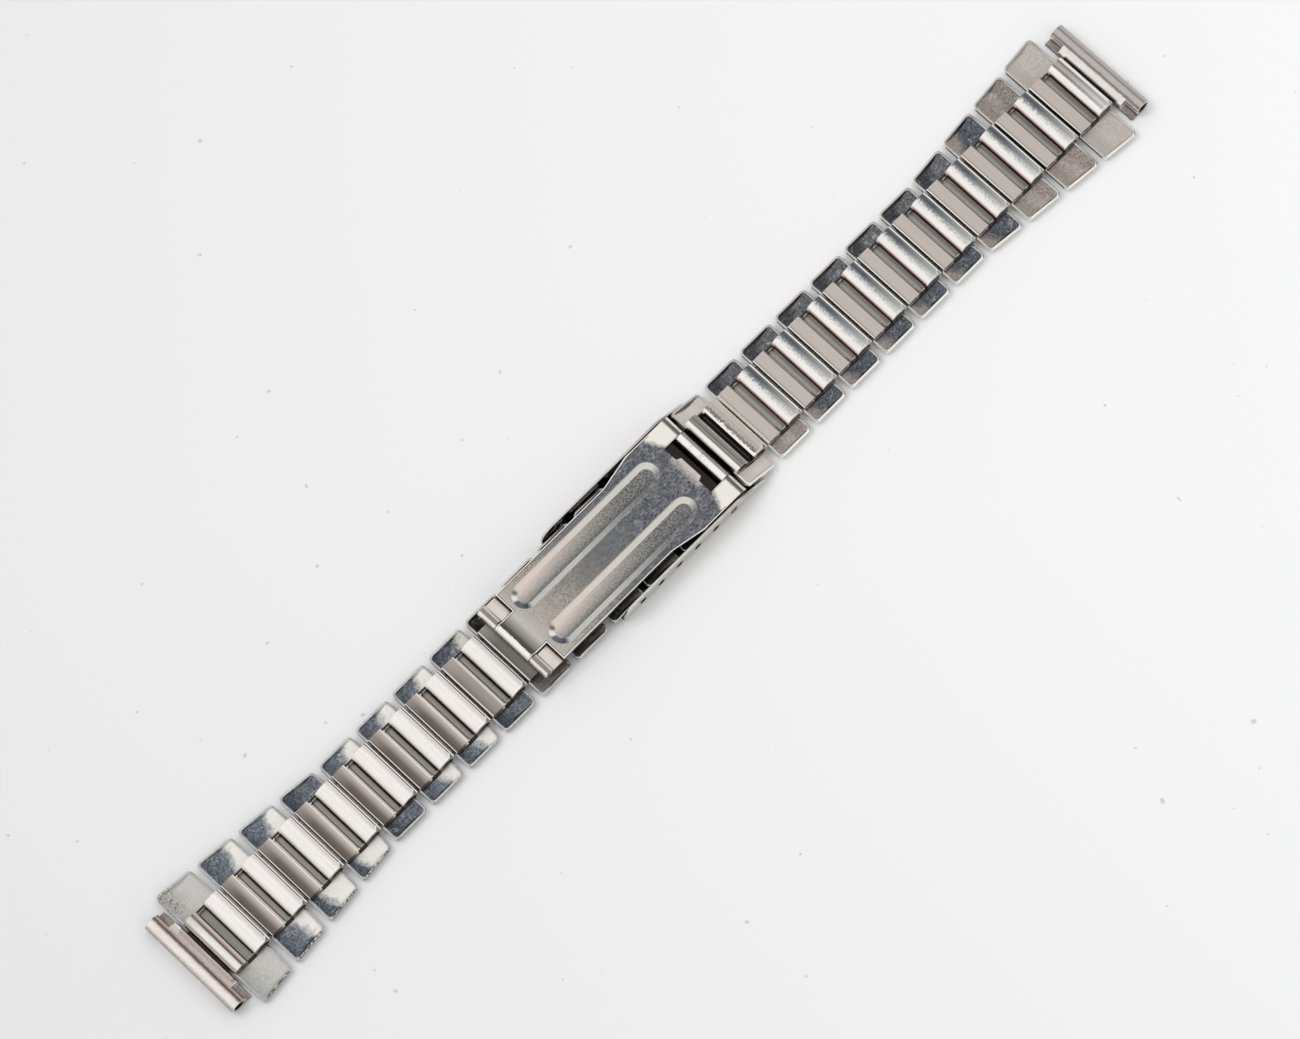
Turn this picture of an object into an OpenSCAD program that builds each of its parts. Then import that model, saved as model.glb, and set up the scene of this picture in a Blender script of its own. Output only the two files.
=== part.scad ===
// Folded sheet-steel watch bracelet with a fold-over clasp, lying open side up.
// Millimetres. +X runs along the bracelet, +Y across it, +Z towards the wrist side.
// The origin is under the middle of the bracelet, on the plane that its outer face rests on.

/* [Links] */
// Distance between two neighbouring hinge axes
link_pitch = 7.5; // [7:0.1:9]
// Gap between the wings of neighbouring links
wing_gap = 1.1; // [0.9:0.05:1.6]
// Width of the regular links
link_w = 16; // [15:0.1:16]
// Width of the folded band along the middle
band_w = 10.5; // [9.8:0.1:11]
// Thickness of the folded steel sheet of the links
sheet_t = 0.4; // [0.3:0.05:0.45]
// Outer radius of the rolled hinge loops
loop_r = 1.35; // [1.25:0.01:1.4]
// Height of the flat folded panel above the outer face
fold_h = 2.5; // [2.3:0.05:2.6]
// Right edge of the flat panel, from the link's left edge
flat_x = 2.5; // [2.1:0.1:2.8]
// Number of links between the left end piece and the clasp
left_links = 13; // [11:1:13]
// Number of links between the clasp and the right end piece
right_links = 11; // [9:1:11]

/* [Wings] */
// Height of the wings' outer face above the band's outer face
wing_z = 0.25; // [0.1:0.05:0.4]
// Height of the wings' rims above the band's outer face
rim_z = 1.2; // [1.05:0.05:1.3]
// Width of the rims
rim_w = 0.3; // [0.2:0.05:0.45]
// Depth of the step inside the rims, above which a wing's pan is dished
pan_step = 0.15; // [0.05:0.05:0.3]
// Corner radius of the wings
wing_round = 0.7; // [0.3:0.05:1.1]
// Chamfer along the wings' outer face
wing_chamfer = 0.3; // [0.1:0.05:0.4]

/* [Ends] */
// Width over the outermost link's far edge
end_w = 22.2; // [18:0.1:24]
// Number of links over which the ends widen
flare_links = 4; // [2:1:6]
// Length of the end tubes, which go between the watch's lugs
tube_l = 17.7; // [15.7:0.1:19.7]
// Bore radius of the end tubes, for the watch's spring bars
tube_bore_r = 0.95; // [0.8:0.01:1]
// Distance from the end tube's axis to its hook's axis
tube_reach = 4.15; // [4:0.05:5]
// Width of the end piece's neck
neck_w = 12.6; // [11:0.1:14]

/* [Clasp cover] */
// Length of the cover along the bracelet, with its side tips
cover_l = 29.5; // [29.2:0.1:30.5]
// Width of the cover outside
cover_w = 17.2; // [17.2:0.1:18.4]
// Height of the cover's side walls
cover_h = 4.1; // [3.7:0.05:4.6]
// Thickness of the cover's sheet
cover_t = 0.4; // [0.35:0.05:0.45]
// Outer bend radius along the cover's edges
cover_bend = 0.9; // [0.6:0.05:1.1]
// Number of adjusting holes in each side wall
hole_count = 6; // [3:1:6]
// Distance between the adjusting holes
hole_pitch = 3.82; // [3.4:0.01:4]
// Radius of the adjusting holes
hole_r = 0.575; // [0.55:0.005:0.62]

/* [Blades] */
// Thickness of the clasp blades
blade_t = 0.4; // [0.3:0.05:0.45]
// Width of the blades
blade_w = 13.8; // [13.4:0.1:15]
// Width over the upper blade's ears
ear_w = 16; // [15:0.1:16.2]
// Distance from the blade hinge to the notch between the ears
notch_x = 36; // [35.4:0.1:36.2]
// Length of the upper blade's pressed ribs
rib_l = 29.4; // [20:0.1:29.8]
// Width of the upper blade's pressed ribs
rib_w = 4.2; // [3:0.1:4.4]
// Depth of the pressed ribs
rib_depth = 0.5; // [0.3:0.05:0.55]
// Distance of each rib's middle line from the bracelet's middle line
rib_y = 3.8; // [3.4:0.1:3.9]

/* [Pins and spring bar] */
// Radius of the blade hinge pin and the ear pin
pin_r = 0.42; // [0.35:0.01:0.45]
// Radius of the cover hinge pin
cover_pin_r = 0.32; // [0.25:0.01:0.34]
// Radius of the spring bar's barrel
bar_r = 0.75; // [0.65:0.01:0.78]
// Radius of the spring bar's tips
tip_r = 0.5; // [0.4:0.01:0.52]
// Radial running gap in every hinge
run_gap = 0.05; // [0.02:0.01:0.07]

/* [Hidden] */
$fn = 64;
tiny = 0.01;
big = 60;

// Parts of a link, from its left edge and its outer face
wing_l = link_pitch - wing_gap;
side_gap = 0.1;
hook_in = 2.1;
flap_back = 1.72;
wedge_r = 4;
bead_r = loop_r - sheet_t - run_gap;
bead_hollow_r = 0.42;
loop_in_r = loop_r - sheet_t;
nose_gap = 0.3;
loop_x = link_pitch - nose_gap - loop_r;
roll_x = loop_r + 0.05;
corner_r = 0.55;
loop_corner_r = 1.58;
flap_r = 2.2;
flap_x = loop_x - flap_back;
roll_open = 20;
window_low = -80;
window_high = 8;
roll_back = 22;
conn_w = band_w - hook_in;
window_w = conn_w + 2 * side_gap;
tongue_z = loop_r - bead_r + 0.02;
clamp_gap = 0.05;
hook_back = link_pitch - loop_x;
tongue_out = 0.2;
tongue_end = flat_x + tongue_out;
rise_x0 = 1.05;
rise_x1 = 1.9;
pan_z = wing_z + sheet_t;
half_band = band_w / 2;

// Hinge axes of the clasp, as [x, z] from the blade hinge
ear_reach = 3.2;
bar_reach = 0.9;
cover_reach = 5.3;
tip_reach = 7.5;
roll_reach = 2.8;
link_lift = cover_t + 0.1;
link_top = max(fold_h, 2 * loop_r);
blade_gap = 0.15;
lower_z = link_lift + link_top + blade_gap;
blade_axis = [0, lower_z + blade_t + blade_gap / 2];
upper_z = lower_z + blade_t + blade_gap;
upper_top = upper_z + blade_t;
knuckle_r = pin_r + run_gap + blade_t;
ear_axis = [notch_x + ear_reach, upper_top - knuckle_r - 0.02];
bar_axis = [notch_x + bar_reach, loop_r + link_lift];
cover_knuckle_r = cover_pin_r + run_gap + 0.3;
cover_axis = [notch_x + cover_reach, cover_t + clamp_gap + cover_knuckle_r];
cover_x1 = notch_x + tip_reach;
cover_x0 = cover_x1 - cover_l;
clip_tube_l = 9.3;
clip_tube_r = bar_r + run_gap + 0.3;
ear_tube_r = pin_r + run_gap + 0.5;
clip_reach = 3.7;
right_roll_axis = [ear_axis[0] + roll_reach, cover_axis[1] + cover_knuckle_r + loop_r];

// The left chain hangs on the spring bar; it slopes down by one link to the resting plane
slope_left = asin(link_lift / link_pitch);
left_last = [bar_axis[0] - clip_reach, bar_axis[1]];
slope_link = left_links - 3;
// The right chain slopes down from the upper blade by its first link
first_reach = loop_x - roll_x;
slope_right = asin((right_roll_axis[1] - loop_r) / first_reach);
right_first = [right_roll_axis[0] + first_reach * cos(slope_right), loop_r];

// Names end in a number of two digits
function pad(k) = k < 10 ? str("0", k) : str(k);

// Axis of the hinge at the right end of left link k; k = 0 is the end piece's hook
function left_axis(k) =
    k >= slope_link ? [left_last[0] - (left_links - k) * link_pitch, left_last[1]]
    : k == 0 ? [left_axis(1)[0] - first_reach, loop_r]
    : [left_axis(slope_link)[0] - link_pitch * cos(slope_left)
       - (slope_link - 1 - k) * link_pitch, loop_r];
// Axis of the hinge at the right end of right link k; k = 0 is the clip's hook
function right_axis(k) =
    k == 0 ? right_roll_axis : [right_first[0] + (k - 1) * link_pitch, loop_r];
tube_left_x = left_axis(0)[0] - tube_reach;
tube_right_x = right_axis(right_links)[0] + tube_reach;
tube_r = tube_bore_r + sheet_t;
mid_x = (tube_left_x + tube_right_x) / 2;
// Half width of the wings at a distance from the chain's far edge
flare_l = flare_links * link_pitch;
function half_w(d) = link_w / 2 + max(0, flare_l - d) * (end_w - link_w) / 2 / flare_l;

// Outline of a sheet of thickness t that follows a path of points
function unit(v) = v / norm(v);
function left_of(v) = [-v[1], v[0]];
function mitre(p, i, h) =
    let (a = i == 0 ? unit(p[1] - p[0]) : unit(p[i] - p[i - 1]),
         b = i == len(p) - 1 ? a : unit(p[i + 1] - p[i]),
         m = unit(left_of(a) + left_of(b)))
    p[i] + m * h / (m * left_of(a));
function sheet_outline(p, t) = concat(
    [for (i = [0:len(p) - 1]) mitre(p, i, t / 2)],
    [for (i = [len(p) - 1:-1:0]) mitre(p, i, -t / 2)]);

// An outline with every corner turned to an arc of radius r
function arc_at(a, p, b, r, n = 5) =
    let (u = unit(a - p), v = unit(b - p), half = acos(u * v) / 2,
         c = p + unit(u + v) * r / sin(half),
         s = p + u * r / tan(half) - c, e = p + v * r / tan(half) - c,
         a0 = atan2(s[1], s[0]), turn = (atan2(e[1], e[0]) - a0 + 540) % 360 - 180)
    [for (i = [0:n]) c + r * [cos(a0 + turn * i / n), sin(a0 + turn * i / n)]];
function rounded(p, r) = let (n = len(p))
    [for (i = [0:n - 1]) each arc_at(p[(i + n - 1) % n], p[i], p[(i + 1) % n], r)];

// The whole bracelet is drawn from the blade hinge and moved to its middle
module from_middle() { translate([-mid_x, 0, 0]) children(); }

// A side-view shape, drawn in x and z, given a width across the bracelet
module across(w, y = 0) {
    translate([0, y, 0]) rotate([90, 0, 0]) linear_extrude(w, center = true) children();
}
// A cross-section, drawn in y and z, run along the bracelet
module along(x0, x1) {
    translate([x0, 0, 0]) rotate([90, 0, 90]) linear_extrude(x1 - x0) children();
}
// A round rod across the bracelet
module rod(p, r, w, y = 0) {
    translate([p[0], y, p[1]]) rotate([90, 0, 0]) cylinder(r = r, h = w, center = true);
}
// A wedge seen from the side, open between two angles
module wedge(p, a, b, r = wedge_r) {
    m = (a + b) / 2;
    translate(p) polygon([[0, 0], [r * cos(a), r * sin(a)],
        [1.5 * r * cos(m), 1.5 * r * sin(m)], [r * cos(b), r * sin(b)]]);
}
module ring(p, r, t) {
    translate(p) difference() {
        circle(r);
        circle(r - t);
    }
}
// Something on one side of the middle line and its mirror image
module both_sides() {
    children();
    mirror([0, 1, 0]) children();
}

// Top view of one wing, or of its pan when set in by the rim
module wing_outline(half_a, half_b, inset) {
    slant = (half_b - half_a) / wing_l;
    far_a = half_a + slant * inset - inset;
    far_b = half_b - slant * inset - inset;
    inner = inset > 0 ? half_band : half_band - sheet_t;
    under = inner - 3 * wing_round;
    round_r = wing_round - inset / 2;
    intersection() {
        polygon(rounded([[inset, under], [wing_l - inset, under],
            [wing_l - inset, far_b], [inset, far_a]], round_r));
        translate([0, inner]) square([wing_l, big]);
    }
}
// One wing: a dished pan with thin rims
module wing(half_a, half_b) {
    turn = atan((half_b - half_a) / wing_l);
    pan_half = wing_l / 2 - rim_w;
    dish = rim_z - pan_step - pan_z;
    dish_r = (pan_half * pan_half + dish * dish) / 2 / dish;
    difference() {
        intersection() {
            linear_extrude(rim_z) wing_outline(half_a, half_b, 0);
            across(big) polygon([[wing_chamfer, wing_z], [wing_l - wing_chamfer, wing_z],
                [wing_l, wing_z + wing_chamfer], [wing_l, rim_z], [0, rim_z],
                [0, wing_z + wing_chamfer]]);
        }
        translate([0, half_a, wing_z]) rotate([0, 0, turn]) rotate([45, 0, 0])
            cube([big, wing_chamfer * sqrt(2), wing_chamfer * sqrt(2)], center = true);
        intersection() {
            linear_extrude(big) wing_outline(half_a, half_b, rim_w);
            across(big) translate([wing_l / 2, pan_z + dish_r]) circle(dish_r, $fn = 128);
            translate([0, half_a, 0]) rotate([0, 0, turn]) along(-big, big)
                polygon([[-big, pan_z - tiny], [-rim_w - dish, pan_z - tiny],
                    [-rim_w, rim_z - pan_step], [-rim_w, 2 * rim_z], [-big, 2 * rim_z]]);
        }
    }
}

// Side view of a link's fold: a wall with a tight bend above and below, under the flat panel
module fold_profile() {
    difference() {
        polygon(concat(arc_at([flat_x, fold_h], [0, fold_h], [0, 0], corner_r),
            arc_at([0, fold_h], [0, 0], [flat_x, 0], corner_r), [[flat_x, 0], [flat_x, fold_h]]));
        polygon(concat(
            arc_at([big, fold_h - sheet_t], [sheet_t, fold_h - sheet_t], [sheet_t, sheet_t],
                corner_r - sheet_t),
            arc_at([sheet_t, fold_h - sheet_t], [sheet_t, sheet_t], [big, sheet_t],
                corner_r - sheet_t),
            [[big, sheet_t], [big, fold_h - sheet_t]]));
    }
}
// Side view of the folded band: outer sheet, fold or roll on the left, loop on the right
module band_profile(roll) {
    left_x = roll ? roll_x : flat_x;
    loop_c = [loop_x, loop_r];
    flap_c = [loop_x, 2 * loop_r - flap_r];
    flap_end = 90 + asin((loop_x - flap_x) / flap_r);
    translate([left_x - tiny, 0]) square([loop_x - left_x + 2 * tiny, sheet_t]);
    difference() {
        ring(loop_c, loop_r, sheet_t);
        wedge(loop_c, 90, 270);
    }
    // the panel's right edge has a tighter bend than the loop inside it
    difference() {
        intersection() {
            translate(flap_c) circle(flap_r);
            translate(loop_c) circle(loop_corner_r);
            translate(loop_c - [tiny, 0]) square([loop_r + tiny, flap_r]);
        }
        translate(loop_c) circle(loop_in_r);
    }
    intersection() {
        ring(flap_c, flap_r, sheet_t);
        wedge(flap_c, 90 - tiny, flap_end);
    }
    if (roll) difference() {
        ring([roll_x, loop_r], loop_r, sheet_t);
        wedge([roll_x, loop_r], -90, roll_open);
    }
    else fold_profile();
}

// A link plate with its two wings; half_a and half_b are its half widths left and right
module link_plate(half_a, half_b, roll = false) {
    difference() {
        union() {
            across(band_w) band_profile(roll);
            both_sides() wing(half_a, half_b);
        }
        rod([loop_x, loop_r], loop_in_r, band_w - 2 * tiny);
        across(window_w) wedge([loop_x, loop_r], window_low, window_high);
        if (roll) {
            rod([roll_x, loop_r], loop_in_r, band_w - 2 * tiny);
            across(window_w)
                wedge([roll_x, loop_r], 180 - window_high, 180 - window_low + roll_back);
        }
        else across(window_w) translate([-tiny, tongue_z - clamp_gap])
            square([corner_r + 2 * tiny, sheet_t + 2 * clamp_gap]);
    }
}

// A hook: rolled bead with its axis at the origin and a tongue running left below it
module hook_profile(reach) {
    difference() {
        union() {
            circle(bead_r);
            translate([-reach, tongue_z - loop_r]) square([reach, sheet_t]);
        }
        circle(bead_hollow_r);
    }
}

// The sheet that hooks into the link before and is clamped under this link's flat panel
module connector() {
    tongue_mid = tongue_z + sheet_t / 2;
    clamp_mid = fold_h - sheet_t - clamp_gap - sheet_t / 2;
    difference() {
        union() {
            rod([-hook_back, loop_r], bead_r, conn_w);
            across(conn_w) polygon(sheet_outline([[-hook_back, tongue_mid],
                [rise_x0, tongue_mid], [rise_x1, clamp_mid], [tongue_end, clamp_mid]], sheet_t));
        }
        rod([-hook_back, loop_r], bead_hollow_r, big);
    }
}

// An end piece: lug tube, neck and hook; its tube's axis is over x = 0, its hook is on the right
module end_piece() {
    neck_x = tube_reach - loop_r - 0.4;
    neck_top = tongue_z + 2 * sheet_t;
    difference() {
        union() {
            rod([0, tube_r], tube_r, tube_l);
            translate([0, -tube_l / 2, 0]) cube([neck_x - 0.1, tube_l, sheet_t]);
            across(neck_w) polygon([[0, 0], [neck_x - sheet_t, tongue_z], [neck_x, tongue_z],
                [neck_x, neck_top], [neck_x - sheet_t / 2, neck_top + sheet_t / 2],
                [tube_r * cos(60), tube_r * (1 + sin(60))]]);
            across(conn_w) translate([tube_reach, loop_r])
                hook_profile(tube_reach - neck_x + sheet_t);
        }
        rod([0, tube_r], tube_bore_r, tube_l + 2);
    }
}

// A clip: a short tube on a pin at the origin and a hook at a distance to its right
module clip(tube, bore, reach) {
    difference() {
        union() {
            rod([0, 0], tube, clip_tube_l);
            across(conn_w) translate([reach, 0]) hook_profile(reach);
        }
        rod([0, 0], bore, big);
    }
}

// Puts a link so that its left hinge axis is at p, sloping up by an angle
module on_axis(p, slope, local_x) {
    from_middle() translate([p[0], 0, p[1]]) rotate([0, -slope, 0])
        translate([-local_x, 0, -loop_r]) children();
}
module left_place(k) {
    slope = k == slope_link ? slope_left : 0;
    on_axis(left_axis(k - 1), slope, k == 1 ? roll_x : -hook_back) children();
}
module right_place(k) {
    slope = k == 1 ? -slope_right : 0;
    on_axis(right_axis(k - 1), slope, k == 1 ? roll_x : -hook_back) children();
}

module link_left(k) {
    d = (k - 1) * link_pitch;
    color("lightgray") left_place(k) link_plate(half_w(d), half_w(d + wing_l), k == 1);
}
module link_right(k) {
    d = (right_links - k) * link_pitch;
    color("lightgray") right_place(k) link_plate(half_w(d + wing_l), half_w(d), k == 1);
}
module connector_left(k) { color("gainsboro") left_place(k) connector(); }
module connector_right(k) { color("gainsboro") right_place(k) connector(); }

module end_piece_left() {
    color("silver") from_middle() translate([tube_left_x, 0, 0]) end_piece();
}
module end_piece_right() {
    color("silver") from_middle() translate([tube_right_x, 0, 0]) mirror([1, 0, 0]) end_piece();
}
module clip_left() {
    color("silver") from_middle() translate([bar_axis[0], 0, bar_axis[1]])
        mirror([1, 0, 0]) clip(clip_tube_r, bar_r + run_gap, clip_reach);
}
module clip_right() {
    run = right_roll_axis - ear_axis;
    color("silver") from_middle() translate([ear_axis[0], 0, ear_axis[1]])
        rotate([0, -atan2(run[1], run[0]), 0]) clip(ear_tube_r, pin_r + run_gap, norm(run));
}

// Cross-section of the cover: a flat bottom with round corners and open at the top
module channel(w, bend, floor_z) {
    for (s = [-1, 1]) translate([s * (w / 2 - bend), floor_z + bend]) circle(bend);
    translate([-w / 2 + bend, floor_z]) square([w - 2 * bend, bend * 2]);
    translate([-w / 2, floor_z + bend]) square([w, cover_h]);
}
wall_round = 2.4;
tip_z = 1.3;
taper_l = 5.6;
taper_x = cover_x1 - taper_l;
plate_x1 = cover_axis[0] + 0.2;
knuckle_gap = 0.1;
blade_knuckle_w = 8.8;
inside_w = cover_w - 2 * cover_t;
hole_x0 = bar_axis[0] - (hole_count - 1) * hole_pitch;

// Side view of the cover: round left corner, right end falling to the tip
module cover_side() {
    translate([cover_x0 + wall_round, cover_h - wall_round]) circle(wall_round);
    polygon([[cover_x0, 0], [cover_x1 - cover_t, 0], [cover_x1, cover_t], [cover_x1, tip_z],
        [taper_x, cover_h], [cover_x0 + wall_round, cover_h],
        [cover_x0 + wall_round, cover_h - wall_round], [cover_x0, cover_h - wall_round]]);
}
module clasp_cover() {
    color("silver") from_middle() difference() {
        union() {
            intersection() {
                along(cover_x0, cover_x1) difference() {
                    channel(cover_w, cover_bend, 0);
                    channel(inside_w, cover_bend - cover_t, cover_t);
                }
                across(big) cover_side();
            }
            rod(cover_axis, cover_knuckle_r, inside_w + cover_t);
            translate([cover_axis[0] - cover_knuckle_r, cover_bend - cover_w / 2, 0])
                cube([cover_knuckle_r, cover_w - 2 * cover_bend, cover_axis[1]]);
        }
        // the plate ends at the hinge, and only the side tips run past it
        translate([plate_x1, -inside_w / 2, -tiny]) cube([big, inside_w, cover_axis[1]]);
        translate([cover_axis[0], -inside_w / 2, -tiny])
            cube([cover_knuckle_r + tiny, inside_w, cover_axis[1] - cover_knuckle_r + tiny]);
        // room for the lower blade's knuckle
        translate([cover_axis[0] - cover_knuckle_r - 2 * knuckle_gap, -blade_knuckle_w / 2
            - knuckle_gap, cover_t]) cube([big, blade_knuckle_w + 2 * knuckle_gap, cover_h]);
        rod(cover_axis, cover_pin_r + run_gap, inside_w + cover_t + tiny);
        for (i = [0:hole_count - 1])
            rod([hole_x0 + i * hole_pitch, bar_axis[1]], hole_r, big);
    }
}
module cover_hinge_pin() {
    color("darkgray") from_middle() rod(cover_axis, cover_pin_r, inside_w);
}

// A long pressed trough with round ends; its sides slope in from the top
module trough(x0, l, w, y, top_z, depth) {
    floor_w = w - 2 * rib_side;
    translate([0, y, 0]) along(x0 + w / 2, x0 + l - w / 2)
        polygon([[-w / 2, top_z], [-floor_w / 2, top_z - depth], [floor_w / 2, top_z - depth],
            [w / 2, top_z]]);
    for (x = [x0 + w / 2, x0 + l - w / 2]) translate([x, y, top_z - depth])
        cylinder(r1 = floor_w / 2, r2 = w / 2, h = depth);
}
// A long slot outline with round ends
module slot(x0, l, w, y) {
    translate([x0 + w / 2, y - w / 2]) square([l - w, w]);
    for (x = [x0 + w / 2, x0 + l - w / 2]) translate([x, y]) circle(w / 2);
}
rib_x = 3.9;
rib_side = 0.9;
tab_x = 3;
top_knuckle_w = 6.8;
slot_gap = 0.25;
edge_bead = 1.3;

// The lower blade, from the blade hinge to the cover hinge, past the spring bar
module lower_blade() {
    mid_z = lower_z + blade_t / 2;
    low_z = cover_axis[1] + cover_knuckle_r - blade_t / 2;
    toward = unit(ear_axis - bar_axis);
    pass = bar_axis + toward * (norm(ear_axis - bar_axis) + clip_tube_r - ear_tube_r) / 2;
    fall = left_of(toward) / toward[0];
    path = [[0, mid_z], [pass[0] + (mid_z - pass[1]) * fall[0], mid_z],
        [pass[0] + (low_z - pass[1]) * fall[0], low_z], [cover_axis[0], low_z]];
    stop_x = cover_axis[0] - cover_knuckle_r - 2 * knuckle_gap;
    color("gainsboro") from_middle() difference() {
        union() {
            intersection() {
                across(blade_w) polygon(sheet_outline(path, blade_t));
                union() {
                    translate([0, -blade_w / 2, 0]) cube([stop_x, blade_w, cover_h]);
                    translate([0, -blade_knuckle_w / 2, 0])
                        cube([big, blade_knuckle_w, cover_h]);
                }
            }
            rod(blade_axis, knuckle_r, blade_w);
            rod(cover_axis, cover_knuckle_r, blade_knuckle_w);
        }
        // the upper blade's knuckle turns in this gap
        translate([-knuckle_r - tiny, -top_knuckle_w / 2 - knuckle_gap, 0])
            cube([2 * knuckle_r + knuckle_gap, top_knuckle_w + 2 * knuckle_gap, big]);
        both_sides() linear_extrude(big)
            slot(rib_x - slot_gap, rib_l + 2 * slot_gap, rib_w + 2 * slot_gap, rib_y);
        rod(blade_axis, pin_r + run_gap, big);
        rod(cover_axis, cover_pin_r + run_gap, big);
    }
}
module blade_hinge_pin() {
    color("darkgray") from_middle() rod(blade_axis, pin_r, blade_w - 2 * run_gap);
}

// Outline of the upper blade: narrow, flared to the ears, notched for the clip
flare_back = 10.5;
flare_front = 4.7;
flare_x0 = notch_x - flare_back;
flare_x1 = notch_x - flare_front;
ear_inner = clip_tube_l / 2 + knuckle_gap;
ear_front = ear_axis[0] - knuckle_r / 2;
tongue_x = notch_x + 0.75;
tongue_half = 2.3;
module upper_outline() {
    both_sides() polygon([[0, 0], [0, top_knuckle_w / 2], [tab_x, top_knuckle_w / 2],
        [tab_x, blade_w / 2], [flare_x0, blade_w / 2], [flare_x1, ear_w / 2 + 0.05],
        [flare_x1 + 1, ear_w / 2], [ear_axis[0], ear_w / 2], [ear_axis[0], ear_inner],
        [notch_x, ear_inner], [notch_x, tongue_half + 0.1], [notch_x + 0.1, tongue_half],
        [tongue_x, tongue_half - 0.3], [tongue_x, 0]]);
}
module upper_blade() {
    color("lightgray") from_middle() difference() {
        union() {
            translate([0, 0, upper_z]) linear_extrude(blade_t) upper_outline();
            both_sides() trough(rib_x, rib_l, rib_w, rib_y, upper_z, rib_depth);
            rod(blade_axis, knuckle_r, top_knuckle_w);
            both_sides() rod(ear_axis, knuckle_r, ear_w / 2 - ear_inner,
                (ear_w / 2 + ear_inner) / 2);
        }
        both_sides() trough(rib_x, rib_l, rib_w, rib_y, upper_top, rib_depth);
        rod(blade_axis, pin_r + run_gap, big);
        rod(ear_axis, pin_r + run_gap, big);
    }
}
module ear_pin() { color("darkgray") from_middle() rod(ear_axis, pin_r, ear_w - 0.2); }

// Spring bar: barrel, two stepped tips and the spring between them
tip_travel = 0.9;
barrel_l = inside_w - 0.9;
barrel_bore = 0.55;
lip = 0.25;
tip_out = cover_w / 2 + 0.1;
tip_in = barrel_l / 2 - 2.2;
spring_wire = 0.1;
spring_mean_r = barrel_bore - 0.04 - spring_wire;
spring_turns = 8;
spring_l = 2 * (tip_in - tip_travel - 0.15);
module spring_bar_barrel() {
    color("silver") from_middle() difference() {
        rod(bar_axis, bar_r, barrel_l);
        rod(bar_axis, barrel_bore, barrel_l + 2 * tiny);
    }
}
module bar_tip(side) {
    from_middle() rod(bar_axis, tip_r, tip_out - tip_in, side * (tip_out + tip_in) / 2);
}
module spring_bar_tip_front() { color("peru") bar_tip(-1); }
module spring_bar_tip_back() { color("peru") bar_tip(1); }

// The spring's wire, swept along its coil with six sides
module spring_bar_spring() {
    sides = 6;
    steps = 8 * spring_turns;
    rings = [for (i = [0:steps])
        let (a = 45 * i, y = (i / steps - 0.5) * (spring_l - 2 * spring_wire))
        [for (j = [0:sides - 1])
            let (r = spring_mean_r + spring_wire * cos(60 * j))
            [r * cos(a), y + spring_wire * sin(60 * j), r * sin(a)]]];
    points = [for (r = rings) each r];
    faces = concat(
        [[for (j = [0:sides - 1]) j]],
        [[for (j = [sides - 1:-1:0]) steps * sides + j]],
        [for (i = [0:steps - 1], j = [0:sides - 1])
            let (a = i * sides, b = a + sides, n = (j + 1) % sides)
            each [[a + j, b + j, a + n], [a + n, b + j, b + n]]]);
    color("gray") from_middle() translate([bar_axis[0], 0, bar_axis[1]])
        polyhedron(points, faces);
}

clasp_cover();
cover_hinge_pin();
lower_blade();
blade_hinge_pin();
upper_blade();
ear_pin();
spring_bar_barrel();
spring_bar_spring();
spring_bar_tip_front();
spring_bar_tip_back();
clip_left();
clip_right();
end_piece_left();
end_piece_right();
for (k = [1:left_links]) link_left(k);
for (k = [1:right_links]) link_right(k);
for (k = [2:left_links])
    connector_left(k);
for (k = [2:right_links])
    connector_right(k);
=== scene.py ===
import math
from types import SimpleNamespace

import bpy
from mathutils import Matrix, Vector


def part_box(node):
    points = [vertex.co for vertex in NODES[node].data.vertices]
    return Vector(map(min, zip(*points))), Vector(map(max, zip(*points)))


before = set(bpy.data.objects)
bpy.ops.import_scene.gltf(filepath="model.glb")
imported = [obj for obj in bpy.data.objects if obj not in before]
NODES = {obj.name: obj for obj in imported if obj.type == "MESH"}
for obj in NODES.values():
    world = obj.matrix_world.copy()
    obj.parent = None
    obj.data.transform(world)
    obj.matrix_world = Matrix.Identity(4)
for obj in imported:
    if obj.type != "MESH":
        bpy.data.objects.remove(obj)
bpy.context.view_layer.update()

# Sizes are in metres. Inside the materials, places are in millimetres.
MM = 0.001


# Small helpers that write shader nodes


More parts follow.
